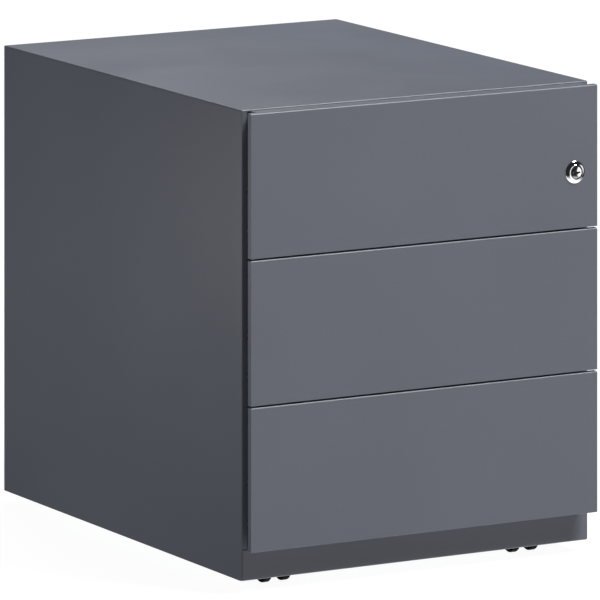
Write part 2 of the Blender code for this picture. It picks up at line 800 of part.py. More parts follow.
# --- the whole object ---------------------------------------------------------------------------
clear_scene()
PARTS = make_collection("drawer_pedestal")
CUTTERS = make_collection("cutters")
MATERIALS = {name: make_material(name) for name in FINISHES}
build_case_wrap()
build_back_panel()
build_base_pan()
build_top_rail()
build_uprights()
build_drawers()
build_lock_bar()
build_lock_bar_guides()
build_castors()
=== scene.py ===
"""The looks of a mobile three-drawer pedestal: folded and painted sheet steel, ball runners, a
chrome cam lock and moulded twin-wheel castors, on a plain pale floor in soft studio light.

Metres, +Z up, front towards -Y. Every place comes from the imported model's own nodes.
"""

import math

import bmesh
import bpy
import numpy as np
from mathutils import Matrix, Vector


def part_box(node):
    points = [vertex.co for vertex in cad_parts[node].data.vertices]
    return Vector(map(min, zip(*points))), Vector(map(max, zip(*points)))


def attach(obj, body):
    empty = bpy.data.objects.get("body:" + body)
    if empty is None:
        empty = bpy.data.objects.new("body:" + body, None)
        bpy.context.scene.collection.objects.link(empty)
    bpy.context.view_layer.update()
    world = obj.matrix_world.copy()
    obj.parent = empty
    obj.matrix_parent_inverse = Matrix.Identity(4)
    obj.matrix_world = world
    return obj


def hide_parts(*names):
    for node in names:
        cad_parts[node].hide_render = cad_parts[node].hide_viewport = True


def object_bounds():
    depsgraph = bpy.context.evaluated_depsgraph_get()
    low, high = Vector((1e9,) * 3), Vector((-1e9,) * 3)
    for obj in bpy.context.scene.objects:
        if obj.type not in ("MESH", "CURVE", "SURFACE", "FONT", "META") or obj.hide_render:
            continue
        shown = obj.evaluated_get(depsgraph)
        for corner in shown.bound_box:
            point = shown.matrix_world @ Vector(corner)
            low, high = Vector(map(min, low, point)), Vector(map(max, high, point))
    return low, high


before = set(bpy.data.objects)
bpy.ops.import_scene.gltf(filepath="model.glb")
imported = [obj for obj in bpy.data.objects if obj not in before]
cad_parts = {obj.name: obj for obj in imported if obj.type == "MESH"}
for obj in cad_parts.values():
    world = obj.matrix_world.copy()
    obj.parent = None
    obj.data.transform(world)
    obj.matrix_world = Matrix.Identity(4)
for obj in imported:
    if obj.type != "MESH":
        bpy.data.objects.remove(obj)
CAD_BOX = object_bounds()

MM = 0.001
ALONG_X, ALONG_Y, UP_Z = "X", "Y", "Z"

# --- sizes of the details -------------------------------------------------------------------------
# Sheet metal of the case and the drawers.
SHEET = 0.9 * MM
BURR = 0.12 * MM
SHEET_BEND = 0.8 * MM
CASE_BEND = 1.4 * MM
INNER_BEND = 0.35 * MM
FOOT_ROUNDING = 3 * MM
STILE_WIDTH = 6.7 * MM
TOP_LIP = 2 * MM
REAR_RETURN = 12 * MM
PLINTH_RETURN = 14 * MM

# Drawer fronts. GRIP_EDGE is how deep their sides are, and GRIP_INSET how far in from them the deep
# middle starts. FRONT_DROP is how far the upper two reach down over the gap below them.
FRONT_TOP_BEND = 1.7 * MM
FRONT_EDGE = 0.5 * MM
FRONT_DROP = 0.8 * MM
GRIP_EDGE = 6.6 * MM
GRIP_INSET = 10 * MM
FRONT_SCREW_COLUMNS = (-120 * MM, 0, 120 * MM)
FRONT_SCREW_ROWS = (40 * MM, 134 * MM)

# Drawer trays.
TRAY_RAISE = 9 * MM
TRAY_HEIGHT = 112 * MM
TRAY_LIP = 7 * MM
TRAY_HEM = 5 * MM
TRAY_PLAY = 0.3 * MM
BACK_PLAY = 0.2 * MM
BACK_FLANGE = 14 * MM
BACK_BELOW_RIM = 9 * MM

# Ball runners. Offsets are measured outwards from the face that lies on the tray.
RUNNER_SHEET = 1.1 * MM
RUNNER_BEND = 2.2 * MM
RUNNER_LIP = 0.9 * MM
OUTER_FLANGE_OFFSET = 3.6 * MM
INNER_FLANGE_OFFSET = 9.1 * MM
RUNNER_SCREW_PLACES = (30 * MM, 230 * MM, 460 * MM)
CAGE_SHEET = 0.6 * MM
CAGE_BEND = 1 * MM
CAGE_WEB_OFFSET = 10.4 * MM
CAGE_EDGE_OFFSET = 4.5 * MM
BALL_OFFSET = 6.4 * MM
BALL_RADIUS = 2.9 * MM
BALLS_IN_A_ROW = 8

# Lock. All but the keyway's depth are radii, and LOCK_DOME is that of the curved face that the barrel
# and the plug share.
LOCK_DOME = 24 * MM
LOCK_HOLE = 9.8 * MM
LOCK_BODY = 9.5 * MM
LOCK_BORE = 6.9 * MM
PLUG_RADIUS = 6.6 * MM
PLUG_TAIL = 4 * MM
KEYWAY_DEPTH = 7 * MM

# Castors.
HOOD_PLAY = 0.3 * MM
WELL_PLAY = 0.8 * MM
WEB_BOTTOM = 8 * MM
WEB_DISC = 12.5 * MM
MOUNT_PLATE = 1.8 * MM
MOUNT_SCREW_PLACES = (-15.5 * MM, 15.5 * MM)
SOCKET_RADIUS = 4.3 * MM
SOCKET_BOTTOM = 18 * MM
AXLE_RADIUS = 2.5 * MM
WHEEL_BORE = 2.8 * MM
WHEEL_TREAD = 1.7 * MM
WHEEL_DISH = 1.1 * MM

# How far cutters reach past what they cut, and the angle from which an edge counts as sharp.
BEYOND = 30 * MM
SHARP_ANGLE = math.radians(40)

DRAWERS = ("bottom", "middle", "top")
SIDES = {"left": -1, "right": 1}
CASTORS = ("front_left", "front_right", "rear_left", "rear_right")
LOCK_DRAWER = "top"
LOWEST_DRAWER = "bottom"


# --- mesh helpers ---------------------------------------------------------------------------------
def mesh_from(build):
    """A mesh filled in by build, a function that takes an empty bmesh."""
    mesh = bpy.data.meshes.new("shape")
    shape = bmesh.new()
    build(shape)
    bmesh.ops.recalc_face_normals(shape, faces=shape.faces)
    shape.to_mesh(mesh)
    shape.free()
    return mesh


def box_mesh(low, high, radius=0.0, steps=5):
    """A box, with all its edges rounded when a radius is given."""
    low, high = Vector(low), Vector(high)
    place = Matrix.LocRotScale((low + high) / 2, None, high - low)

    def build(shape):
        bmesh.ops.create_cube(shape, size=1, matrix=place)
        if radius:
            bmesh.ops.bevel(
                shape, geom=shape.edges[:], offset=radius, segments=steps, profile=0.5, affect="EDGES"
            )

    return mesh_from(build)


def axis_matrix(axis, origin=(0, 0, 0)):
    """Takes local +Z to world +X, world -Y (out of the front) or world +Z, about an origin."""
    turn = {
        ALONG_X: Matrix.Rotation(math.pi / 2, 4, "Y"),
        ALONG_Y: Matrix.Rotation(math.pi / 2, 4, "X"),
        UP_Z: Matrix.Identity(4),
    }[axis]
    return Matrix.Translation(origin) @ turn


def turned_mesh(outline, matrix, steps=96):
    """A shape turned round the matrix's Z axis from an outline of (radius, height) points.

    The outline closes on the axis if it starts there, and on itself if not.
    """

    def build(shape):
        chain = [shape.verts.new((radius, 0, height)) for radius, height in outline]
        on_the_axis = outline[0][0] == 0
        pairs = zip(chain, chain[1:]) if on_the_axis else zip(chain, chain[1:] + chain[:1])
        edges = [shape.edges.new(pair) for pair in pairs]
        bmesh.ops.spin(
            shape,
            geom=chain + edges,
            cent=(0, 0, 0),
            axis=(0, 0, 1),
            angle=math.tau,
            steps=steps,
            use_merge=True,
        )
        bmesh.ops.remove_doubles(shape, verts=shape.verts[:], dist=0.001 * MM)
        bmesh.ops.transform(shape, matrix=matrix, verts=shape.verts[:])

    return mesh_from(build)


def cylinder_mesh(radius, bottom, top, matrix, steps=64):
    """A closed cylinder on the matrix's Z axis, between two heights."""
    place = matrix @ Matrix.Translation((0, 0, (bottom + top) / 2))
    return mesh_from(
        lambda shape: bmesh.ops.create_cone(
            shape,
            cap_ends=True,
            segments=steps,
            radius1=radius,
            radius2=radius,
            depth=top - bottom,
            matrix=place,
        )
    )


def corner_arc(before, corner, after, radius, steps):
    """The 2D points that round a corner between its neighbours."""
    arriving = (corner - before).normalized()
    leaving = (after - corner).normalized()
    turn = arriving.angle_signed(leaving)
    start = corner - arriving * radius * math.tan(abs(turn) / 2)
    side = Vector((arriving.y, -arriving.x)) * math.copysign(1, turn)
    centre = start + side * radius
    spoke = start - centre
    return [centre + Matrix.Rotation(-turn * step / steps, 2) @ spoke for step in range(steps + 1)]


def rounded_corners(points, radius, steps=5):
    """An open chain of 2D points with each inner corner replaced by an arc."""
    points = [Vector(point) for point in points]
    chain = [points[0]]
    for before, corner, after in zip(points, points[1:], points[2:]):
        chain += corner_arc(before, corner, after, radius, steps)
    chain.append(points[-1])
    return chain


def rounded_outline(corners, steps=8):
    """A closed 2D outline from (x, y, radius) corners."""
    points = [Vector(corner[:2]) for corner in corners]
    outline = []
    for i, (_, _, radius) in enumerate(corners):
        after = points[(i + 1) % len(points)]
        outline += corner_arc(points[i - 1], points[i], after, radius, steps)
    return outline


def inset_outline(outline, inset):
    """An outline that runs clockwise, moved inwards by the same distance all round."""
    moved = []
    for i, point in enumerate(outline):
        along = (outline[(i + 1) % len(outline)] - outline[i - 1]).normalized()
        moved.append(point + Vector((along.y, -along.x)) * inset)
    return moved


def rounded_rim(radius, top, rounding, steps=8):
    """(radius, height) points from a disc's flat top round its rim and down."""
    angles = [math.pi / 2 * (1 - step / steps) for step in range(steps + 1)]
    return [
        (radius - rounding + rounding * math.cos(angle), top - rounding + rounding * math.sin(angle))
        for angle in angles
    ]


def mirrored(outline):
    """(radius, height) points mirrored in the plane at height zero, in the order that goes on round."""
    return [(radius, -height) for radius, height in reversed(outline)]


def thick_section(chain, thickness):
    """The closed outline of a strip of this thickness along an open chain of 2D points."""
    outer, inner = [], []
    for i, point in enumerate(chain):
        before = chain[max(i - 1, 0)]
        after = chain[min(i + 1, len(chain) - 1)]
        along = (after - before).normalized()
        across = Vector((-along.y, along.x)) * thickness / 2
        outer.append(point + across)
        inner.append(point - across)
    return outer + inner[::-1]


def folded_mesh(corners, axis, start, end, thickness=SHEET, bend=SHEET_BEND):
    """A folded strip of sheet that runs along an axis, with its cut ends slightly eased."""
    chain = rounded_corners(corners, bend)
    full = thick_section(chain, thickness)
    eased = thick_section(chain, thickness - 2 * BURR)
    return skinned_mesh([(eased, start), (full, start + BURR), (full, end - BURR), (eased, end)], axis)


def skinned_mesh(sections, axis):
    """A closed skin over (outline, place along the axis) sections with equal numbers of points."""
    order = {ALONG_X: (1, 2, 0), ALONG_Y: (0, 2, 1), UP_Z: (0, 1, 2)}[axis]

    def build(shape):
        rings = []
        for section, along in sections:
            ring = []
            for point in section:
                place = [0, 0, 0]
                for value, index in zip((point.x, point.y, along), order):
                    place[index] = value
                ring.append(shape.verts.new(place))
            rings.append(ring)
        for first, second in zip(rings, rings[1:]):
            for i in range(len(first)):
                j = (i + 1) % len(first)
                shape.faces.new((first[i], first[j], second[j], second[i]))
        shape.faces.new(rings[0])
        shape.faces.new(rings[-1][::-1])

    return mesh_from(build)


def prism_mesh(outline, axis, start, end, rounding, steps=4):
    """A clockwise outline run along an axis, with the edges of both end faces rounded."""
    quarter = [math.pi / 2 * step / steps for step in range(steps + 1)]
    near = [
        (inset_outline(outline, rounding * (1 - math.sin(angle))), rounding * (1 - math.cos(angle)))
        for angle in quarter
    ]
    sections = [(section, start + along) for section, along in near]
    sections += [(section, end - along) for section, along in reversed(near)]
    return skinned_mesh(sections, axis)


def joined_mesh(meshes):
    """Several meshes as one, each still its own closed shell."""
    shape = bmesh.new()
    for mesh in meshes:
        shape.from_mesh(mesh)
    joined = bpy.data.meshes.new("shape")
    shape.to_mesh(joined)
    shape.free()
    return joined


def boolean(mesh, other, operation):
    """The first mesh cut by, or joined with, the second."""
    work = [bpy.data.objects.new("work", each) for each in (mesh, other)]
    for each in work:
        bpy.context.scene.collection.objects.link(each)
    modifier = work[0].modifiers.new("Boolean", "BOOLEAN")
    modifier.operation = operation
    modifier.object = work[1]
    modifier.solver = "EXACT"
    graph = bpy.context.evaluated_depsgraph_get()
    made = bpy.data.meshes.new_from_object(work[0].evaluated_get(graph))
    for each in work:
        bpy.data.objects.remove(each)
    return made


def cut(mesh, *cutters):
    """The mesh with each cutter taken away in turn."""
    for cutter in cutters:
        mesh = boolean(mesh, cutter, "DIFFERENCE")
    return mesh


def join(mesh, *others):
    """The mesh made one closed solid with each of the others."""
    for other in others:
        mesh = boolean(mesh, other, "UNION")
    return mesh


def smooth_flats(obj):
    """Smooth bends beside flat faces that stay flat."""
    obj.data.shade_smooth()
    obj.data.set_sharp_from_angle(angle=SHARP_ANGLE)
    normals = obj.modifiers.new("Weighted normals", "WEIGHTED_NORMAL")
    normals.keep_sharp = True


def piece(name, mesh, body, material, slot, *nodes):
    """A detailed piece that rides on a body and stands for CAD nodes."""
    obj = bpy.data.objects.new(name, mesh)
    bpy.context.scene.collection.objects.link(obj)
    mesh.materials.clear()
    mesh.materials.append(material)
    smooth_flats(obj)
    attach(obj, body)
    if nodes:
        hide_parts(*nodes)
    return obj


def keep_node(node, material, ease=0.2 * MM):
    """A CAD node whose shape is right, with its edges eased and its finish set."""
    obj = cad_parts[node]
    obj.data.materials.clear()
    obj.data.materials.append(material)
    weld = obj.modifiers.new("Weld", "WELD")
    weld.merge_threshold = 0.005 * MM
    bevel = obj.modifiers.new("Eased edges", "BEVEL")
    bevel.width = ease
    bevel.segments = 2
    bevel.limit_method = "ANGLE"
    bevel.angle_limit = SHARP_ANGLE
    bevel.harden_normals = True
    obj.data.shade_smooth()
    return obj


# --- material helpers -----------------------------------------------------------------------------
# The sockets of a Mix node that mixes colours.
MIX_FACTOR, MIX_FIRST, MIX_SECOND, MIX_RESULT = 0, 6, 7, 2


class Nodes:
    """A material's node tree, with its Principled shader and a few ways to feed it."""

    def __init__(self, name):
        self.material = bpy.data.materials.new(name)
        self.material.use_nodes = True
        self.tree = self.material.node_tree
        self.shader = self.tree.nodes["Principled BSDF"]
        self.place = self.add("ShaderNodeTexCoord").outputs["Object"]

    def add(self, kind, **settings):
        node = self.tree.nodes.new(kind)
        for key, value in settings.items():
            setattr(node, key, value)
        return node

    def link(self, output, socket):
        self.tree.links.new(output, socket)

    def set(self, **values):
        for key, value in values.items():
            self.shader.inputs[key.replace("_", " ")].default_value = value

    def noise(self, scale, detail=2.0, roughness=0.5, stretch=None):
        """A noise's value, in features per metre. stretch scales the place along each axis first."""
        source = self.place
        if stretch:
            mapping = self.add("ShaderNodeMapping")
            mapping.inputs["Scale"].default_value = stretch
            self.link(source, mapping.inputs["Vector"])
            source = mapping.outputs["Vector"]
        noise = self.add("ShaderNodeTexNoise")
        noise.inputs["Scale"].default_value = scale
        noise.inputs["Detail"].default_value = detail
        noise.inputs["Roughness"].default_value = roughness
        self.link(source, noise.inputs["Vector"])
        return noise.outputs["Fac"]

    def spread(self, value, low, high, from_low=0.3, from_high=0.7):
        """A value between from_low and from_high, where most of a noise lies, spread from low to high."""
        mapped = self.add("ShaderNodeMapRange")
        mapped.inputs["From Min"].default_value = from_low
        mapped.inputs["From Max"].default_value = from_high
        mapped.inputs["To Min"].default_value = low
        mapped.inputs["To Max"].default_value = high
        self.link(value, mapped.inputs["Value"])
        return mapped.outputs["Result"]

    def mix_colours(self, factor, first, second):
        mixed = self.add("ShaderNodeMix", data_type="RGBA")
        self.link(factor, mixed.inputs[MIX_FACTOR])
        for index, colour in ((MIX_FIRST, first), (MIX_SECOND, second)):
            socket = mixed.inputs[index]
            if isinstance(colour, tuple):
                socket.default_value = (*colour, 1.0)
            else:
                self.link(colour, socket)
        return mixed.outputs[MIX_RESULT]

    def bump(self, *layers):
        """Bumps one over the other, each a (height, strength, distance)."""
        normal = None
        for height, strength, distance in layers:
            node = self.add("ShaderNodeBump")
            node.inputs["Strength"].default_value = strength
            node.inputs["Distance"].default_value = distance
            self.link(height, node.inputs["Height"])
            if normal is not None:
                self.link(normal, node.inputs["Normal"])
            normal = node.outputs["Normal"]
        self.link(normal, self.shader.inputs["Normal"])


def shade(colour, factor):
    """A colour made darker or lighter."""
    return tuple(channel * factor for channel in colour)


def powder_coat(name, colour):
    """Satin powder coat: a fine orange peel, tiny darker and lighter grains, and soft gloss changes."""
    nodes = Nodes(name)
    broad = nodes.spread(nodes.noise(5.0, 3.0), 0.0, 1.0)
    grain = nodes.spread(nodes.noise(2200.0, 1.0), 0.0, 1.0)
    tone = nodes.mix_colours(broad, shade(colour, 0.975), shade(colour, 1.025))
    speck = nodes.add("ShaderNodeMix", data_type="RGBA", blend_type="MULTIPLY")
    speck.inputs[MIX_FACTOR].default_value = 1.0
    nodes.link(tone, speck.inputs[MIX_FIRST])
    grain_tone = nodes.mix_colours(grain, (0.93, 0.93, 0.93), (1.07, 1.07, 1.07))
    nodes.link(grain_tone, speck.inputs[MIX_SECOND])
    nodes.link(speck.outputs[MIX_RESULT], nodes.shader.inputs["Base Color"])
    nodes.link(nodes.spread(nodes.noise(9.0, 4.0, 0.6), 0.33, 0.39), nodes.shader.inputs["Roughness"])
    nodes.bump(
        (nodes.noise(620.0, 2.0), 0.35, 0.05 * MM),
        (nodes.noise(2600.0, 1.0), 0.25, 0.02 * MM),
    )
    return nodes.material


def zinc_plate(name, colour):
    """Bright zinc on cold-rolled strip: faint lines along Y, cloudy passivation, soft gloss."""
    nodes = Nodes(name)
    cloud = nodes.spread(nodes.noise(45.0, 4.0, 0.6), 0.0, 1.0)
    tone = nodes.mix_colours(cloud, shade(colour, 0.86), shade(colour, 1.05))
    nodes.link(tone, nodes.shader.inputs["Base Color"])
    nodes.set(Metallic=1.0)
    lines = nodes.noise(1.0, 3.0, 0.6, stretch=(2600.0, 22.0, 2600.0))
    nodes.link(nodes.spread(cloud, 0.26, 0.42, 0.0, 1.0), nodes.shader.inputs["Roughness"])
    nodes.bump((lines, 0.3, 0.015 * MM), (nodes.noise(900.0, 2.0), 0.2, 0.01 * MM))
    return nodes.material


def polished_metal(name, colour, roughness):
    """Plated and polished: fine hairlines and a little haze, as from handling."""
    nodes = Nodes(name)
    haze = nodes.noise(160.0, 4.0, 0.6)
    tone = nodes.mix_colours(nodes.spread(haze, 0.0, 1.0), shade(colour, 0.94), colour)
    nodes.link(tone, nodes.shader.inputs["Base Color"])
    nodes.set(Metallic=1.0)
    nodes.link(nodes.spread(haze, roughness * 0.7, roughness * 1.4), nodes.shader.inputs["Roughness"])
    nodes.bump((nodes.noise(1.0, 2.0, stretch=(400.0, 6000.0, 6000.0)), 0.08, 0.01 * MM))
    return nodes.material


def moulded_plastic(name, colour, roughness):
    """Black nylon with the fine spark-eroded grain of its mould and lightly rubbed high spots."""
    nodes = Nodes(name)
    rubbed = nodes.spread(nodes.noise(70.0, 4.0, 0.65), 0.0, 1.0, 0.45, 0.75)
    nodes.link(nodes.mix_colours(rubbed, colour, shade(colour, 1.9)), nodes.shader.inputs["Base Color"])
    gloss = nodes.spread(nodes.noise(300.0, 3.0), roughness - 0.07, roughness + 0.09)
    nodes.link(gloss, nodes.shader.inputs["Roughness"])
    nodes.set(Specular_IOR_Level=0.03)
    nodes.bump((nodes.noise(1500.0, 2.0), 0.4, 0.04 * MM))
    return nodes.material


PAINT = powder_coat("anthracite_powder_coat", (0.137, 0.148, 0.178))
ZINC = zinc_plate("bright_zinc", (0.66, 0.67, 0.69))
CAGE_STEEL = zinc_plate("cage_strip", (0.52, 0.53, 0.56))
BALL_STEEL = polished_metal("ball_steel", (0.72, 0.72, 0.73), 0.08)
CHROME = polished_metal("lock_chrome", (0.86, 0.87, 0.89), 0.06)
NYLON = moulded_plastic("black_nylon", (0.003, 0.003, 0.0035), 0.5)
TREAD = moulded_plastic("wheel_nylon", (0.002, 0.002, 0.0025), 0.55)


# --- case -----------------------------------------------------------------------------------------
def build_case_shell():
    """One sheet over both sides and the top, with stiles in front and returns behind."""
    low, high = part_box("case_wrap")
    plinth_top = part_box("base_pan")[1].z
    inside = high.x - SHEET
    under = low.z - BEYOND
    shell = box_mesh((low.x, low.y, under), high, CASE_BEND, steps=6)
    hollow = box_mesh(
        (-inside, low.y + SHEET, under - BEYOND),
        (inside, high.y - SHEET, high.z - SHEET),
        INNER_BEND,
        steps=3,
    )
    opening = high.x - STILE_WIDTH
    mouth = box_mesh((-opening, low.y - BEYOND, under - BEYOND), (opening, low.y + BEYOND, high.z - TOP_LIP))
    plinth_gap = box_mesh((-inside, low.y - BEYOND, under - BEYOND), (inside, low.y + BEYOND, plinth_top))
    rear = high.x - REAR_RETURN
    rear_mouth = box_mesh(
        (-rear, high.y - BEYOND, under - BEYOND), (rear, high.y + BEYOND, high.z - REAR_RETURN)
    )
    floor_cut = box_mesh((2 * low.x, low.y - BEYOND, under - BEYOND), (2 * high.x, high.y + BEYOND, low.z))
    shell = cut(shell, hollow, mouth, plinth_gap, rear_mouth, floor_cut, *foot_cutters(low, high))
    piece("case_shell", shell, "case", PAINT, "case_paint", "case_wrap")


def foot_cutters(low, high):
    """What rounds the case's lower front corners: for each side, a cutter seen from the front and one
    seen from the side."""
    radius, spare = FOOT_ROUNDING, 1 * MM
    centre_y, centre_z = low.y + radius, low.z + radius
    cutters = []
    for sign in SIDES.values():
        centre_x = sign * (high.x - radius)
        outside = sign * (high.x + spare)
        across = box_mesh(
            (min(centre_x, outside), low.y - spare, low.z - spare),
            (max(centre_x, outside), low.y + SHEET + BURR, centre_z),
        )
        round_part = axis_matrix(ALONG_Y, (centre_x, low.y, centre_z))
        cutters.append(cut(across, cylinder_mesh(radius, -BEYOND, BEYOND, round_part)))
        inside = sign * (high.x - SHEET - spare)
        along = box_mesh(
            (min(inside, outside), low.y - spare, low.z - spare),
            (max(inside, outside), centre_y, centre_z),
        )
        round_part = axis_matrix(ALONG_X, (centre_x, centre_y, centre_z))
        cutters.append(cut(along, cylinder_mesh(radius, -BEYOND, BEYOND, round_part)))
    return cutters


def build_base_and_plinth():
    """The base, folded down in front as the plinth and again behind."""
    low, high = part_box("base_pan")
    half = SHEET / 2
    corners = [
        (low.y + half + PLINTH_RETURN, low.z + half),
        (low.y + half, low.z + half),
        (low.y + half, high.z - half),
        (high.y - half, high.z - half),
        (high.y - half, high.z - half - PLINTH_RETURN),
    ]
    mesh = folded_mesh(corners, ALONG_X, low.x, high.x)
    seen_from_the_front = foot_cutters(*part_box("case_wrap"))[::2]
    mesh = cut(mesh, *seen_from_the_front)
    piece("base_and_plinth", mesh, "case", PAINT, "case_paint", "base_pan")


# --- drawers --------------------------------------------------------------------------------------
def lock_axis():
    """The point where the lock's axis meets the outer face of its drawer's front."""
    low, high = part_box("lock_barrel")
    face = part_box(f"drawer_{LOCK_DRAWER}_front")[0].y
    return Vector(((low.x + high.x) / 2, face, (low.z + high.z) / 2))


def lock_hole(y):
    """The cutter for the lock's hole in a sheet that stands at this depth."""
    reach = 4 * MM
    place = axis_matrix(ALONG_Y, (lock_axis().x, y, lock_axis().z))
    return cylinder_mesh(LOCK_HOLE, -reach, reach, place)


def build_drawer_front(drawer):
    """A folded pan: thin grips at both sides, and a deep middle that meets the tray."""
    low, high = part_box(f"drawer_{drawer}_front")
    if drawer != LOWEST_DRAWER:
        low.z -= FRONT_DROP
    grip_back = low.y + GRIP_EDGE
    body = high.x - GRIP_INSET
    outline = rounded_outline(
        [
            (low.y, low.z, FRONT_EDGE),
            (low.y, high.z, FRONT_TOP_BEND),
            (high.y, high.z, FRONT_EDGE),
            (high.y, low.z, FRONT_EDGE),
        ]
    )
    front = prism_mesh(outline, ALONG_X, low.x, high.x, 0.8 * FRONT_EDGE)
    for sign in SIDES.values():
        left, right = sorted((sign * body, 2 * sign * high.x))
        behind_grip = box_mesh(
            (left, grip_back, low.z - BEYOND), (right, high.y + BEYOND, high.z + BEYOND)
        )
        front = cut(front, behind_grip)
    inside = box_mesh(
        (low.x + SHEET, low.y + SHEET, low.z + SHEET),
        (high.x - SHEET, grip_back - SHEET, high.z - SHEET),
        INNER_BEND,
        steps=3,
    )
    body_inside = box_mesh(
        (SHEET - body, grip_back - 2 * SHEET, low.z + SHEET + BURR),
        (body - SHEET, high.y + BEYOND, high.z - SHEET - BURR),
    )
    front = cut(front, inside, body_inside)
    if drawer == LOCK_DRAWER:
        front = cut(front, lock_hole(low.y))
    node = f"drawer_{drawer}_front"
    piece(f"{drawer}_drawer_front_pan", front, f"drawer_{drawer}", PAINT, "front_paint", node)


def build_tray(drawer):
    """The drawer's box: a folded trough with hemmed top edges, a back wall and a front plate."""
    node, body = f"drawer_{drawer}_tray", f"drawer_{drawer}"
    low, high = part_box(node)
    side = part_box(f"runner_{drawer}_right_inner")[0].x - TRAY_PLAY
    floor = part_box(f"drawer_{drawer}_front")[0].z + TRAY_RAISE
    rim = floor + TRAY_HEIGHT
    half = SHEET / 2
    wall, lip = side - half, side - SHEET - TRAY_LIP + half
    corners = [
        (-lip, rim - TRAY_HEM),
        (-lip, rim - half),
        (-wall, rim - half),
        (-wall, floor + half),
        (wall, floor + half),
        (wall, rim - half),
        (lip, rim - half),
        (lip, rim - TRAY_HEM),
    ]
    plate_back = low.y + SHEET
    trough = folded_mesh(corners, ALONG_Y, plate_back + BURR, high.y - BURR)
    if drawer == LOCK_DRAWER:
        lock = lock_axis()
        half_width, depth, below, above = 12 * MM, 9 * MM, 28 * MM, 14 * MM
        room_for_the_cam = box_mesh(
            (side - half_width, low.y, lock.z - below), (side + half_width, low.y + depth, lock.z + above)
        )
        trough = cut(trough, room_for_the_cam)
    piece(f"{drawer}_tray_trough", trough, body, PAINT, "tray_paint", node)
    inner = wall - half - BACK_PLAY
    back = high.y - SHEET
    back_corners = [
        (-inner + half, back - BACK_FLANGE),
        (-inner + half, back),
        (inner - half, back),
        (inner - half, back - BACK_FLANGE),
    ]
    back_wall = folded_mesh(back_corners, UP_Z, floor + SHEET + BACK_PLAY, rim - BACK_BELOW_RIM)
    piece(f"{drawer}_tray_back", back_wall, body, PAINT, "tray_paint", node)
    plate = box_mesh((low.x, low.y, low.z), (high.x, plate_back, high.z), BURR, steps=2)
    if drawer == LOCK_DRAWER:
        plate = cut(plate, lock_hole(low.y))
    piece(f"{drawer}_tray_plate", plate, body, PAINT, "tray_paint", node)


def build_plate_screws(drawer):
    """The screws that hold the front to the tray's plate, seen from inside the drawer."""
    plate_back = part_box(f"drawer_{drawer}_tray")[0].y + SHEET
    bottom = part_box(f"drawer_{drawer}_front")[0].z
    inwards = Matrix.Rotation(math.pi, 4, "X")
    heads = [
        screw_mesh(axis_matrix(ALONG_Y, (x, plate_back, bottom + z)) @ inwards)
        for x in FRONT_SCREW_COLUMNS
        for z in FRONT_SCREW_ROWS
    ]
    piece(f"{drawer}_front_screws", joined_mesh(heads), f"drawer_{drawer}", ZINC, "runner_steel")


def screw_mesh(matrix, radius=4 * MM, height=1.9 * MM):
    """A domed pan head with a cross recess, standing on the matrix's XY plane."""
    angles = [math.radians(degrees) for degrees in range(0, 91, 15)]
    dome = [(radius * math.cos(angle), height * 0.35 + height * 0.65 * math.sin(angle)) for angle in angles]
    head = turned_mesh([(0, 0), (radius, 0), *dome[:-1], (0, height)], Matrix.Identity(4), 24)
    long, thin, deep = 2.1 * MM, 0.45 * MM, 0.9 * MM
    bars = [
        box_mesh((-long, -thin, height - deep), (long, thin, height + deep)),
        box_mesh((-thin, -long, height - deep), (thin, long, height + deep)),
    ]
    head = cut(head, join(*bars))
    head.transform(matrix)
    return head


# --- runners --------------------------------------------------------------------------------------
def runner_places(drawer, side):
    """The runner's side as a sign, its distances from the middle at the tray and at the case, and its
    middle height, from its own nodes."""
    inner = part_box(f"runner_{drawer}_{side}_inner")
    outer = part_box(f"runner_{drawer}_{side}_outer")
    sign = SIDES[side]
    tray_side = min(abs(inner[0].x), abs(inner[1].x))
    case_side = max(abs(outer[0].x), abs(outer[1].x))
    return sign, tray_side, case_side, (inner[0].z + inner[1].z) / 2


def channel_mesh(node, sign, web_x, flange_x):
    """A runner member: a web with both flanges bent round the balls, and lips along their edges."""
    low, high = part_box(node)
    half = RUNNER_SHEET / 2
    lip_start = flange_x + math.copysign(RUNNER_LIP, web_x - flange_x)
    corners = [
        (flange_x, high.z - half - RUNNER_LIP),
        (lip_start, high.z - half),
        (web_x, high.z - half),
        (web_x, low.z + half),
        (lip_start, low.z + half),
        (flange_x, low.z + half + RUNNER_LIP),
    ]
    section = [(sign * x, z) for x, z in corners]
    return folded_mesh(section, ALONG_Y, low.y, high.y, RUNNER_SHEET, RUNNER_BEND)


def slot_cutters(x, y_places, z, length, width):
    """Round-ended slots through a web that lies across X.

    The middle is a hair narrower and longer than the round ends, so that no two faces coincide.
    """
    reach = 3 * MM
    straight = width / 2 - 0.01 * MM
    cutters = []
    for y in y_places:
        ends = [
            cylinder_mesh(width / 2, -reach, reach, axis_matrix(ALONG_X, (x, y + shift, z)), 20)
            for shift in (-length / 2, length / 2)
        ]
        middle = box_mesh(
            (x - 1.1 * reach, y - length / 2, z - straight),
            (x + 1.1 * reach, y + length / 2, z + straight),
        )
        cutters.append(join(middle, *ends))
    return cutters


